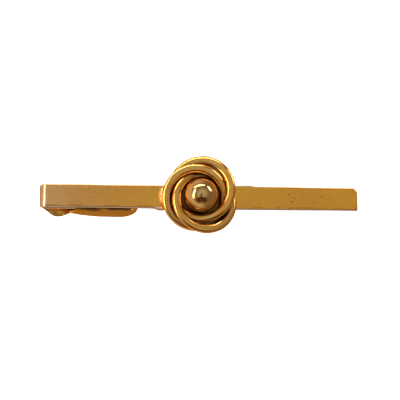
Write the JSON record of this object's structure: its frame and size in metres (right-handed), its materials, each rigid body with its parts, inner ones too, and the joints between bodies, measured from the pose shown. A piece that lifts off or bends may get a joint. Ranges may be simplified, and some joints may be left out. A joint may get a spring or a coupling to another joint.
{
  "type": "tie clip",
  "caption": "Gold-tone tie clip: a folded metal bar with a rope knot round a polished ball, and a spring-loaded hinged jaw behind it that grips the tie.",
  "frame": {"origin": "middle of the bar's back face, the face the tie lies against", "axes": "+X along the bar from its folded end to its free end, +Z out of the decorated front, +Y across the bar"},
  "size_m": [0.057, 0.0141, 0.0116],
  "materials": {
    "gold_bar": "gold-plated, satin polish with fine wear",
    "gold_wire": "gold-plated, polished, dark tarnish in the crevices",
    "gold_ball": "gold-plated, mirror polish",
    "gold_mechanism": "gold-plated, soft polish, deeper amber",
    "solder": "plated solder, slightly lumpy",
    "spring_steel": "bare drawn wire"
  },
  "bodies": {
    "bar": {"front_bar": "gold_bar", "knot_wire_1_inner": "gold_wire", "knot_wire_1_outer": "gold_wire", "knot_wire_2_inner": "gold_wire", "knot_wire_2_outer": "gold_wire", "knot_wire_3_inner": "gold_wire", "knot_wire_3_outer": "gold_wire", "knot_base": "gold_mechanism", "knot_ball": "gold_ball", "ball_solder": "solder", "knot_solder": "solder", "hinge_bracket": "gold_mechanism", "bracket_solder": "solder", "hinge_pin": "gold_mechanism", "torsion_spring": "spring_steel"},
    "jaw": {"jaw_lever": "gold_mechanism"}
  },
  "joints": [
    {"name": "jaw_hinge", "type": "hinge", "parent": "bar", "child": "jaw", "pos_m": [-0.02345, 0, -0.00315], "axis": [0, 1, 0], "range_deg": [0, 22], "stiffness_Nm_per_rad": 0.008, "springref_deg": -22.92, "deforming": ["torsion_spring"]}
  ]
}
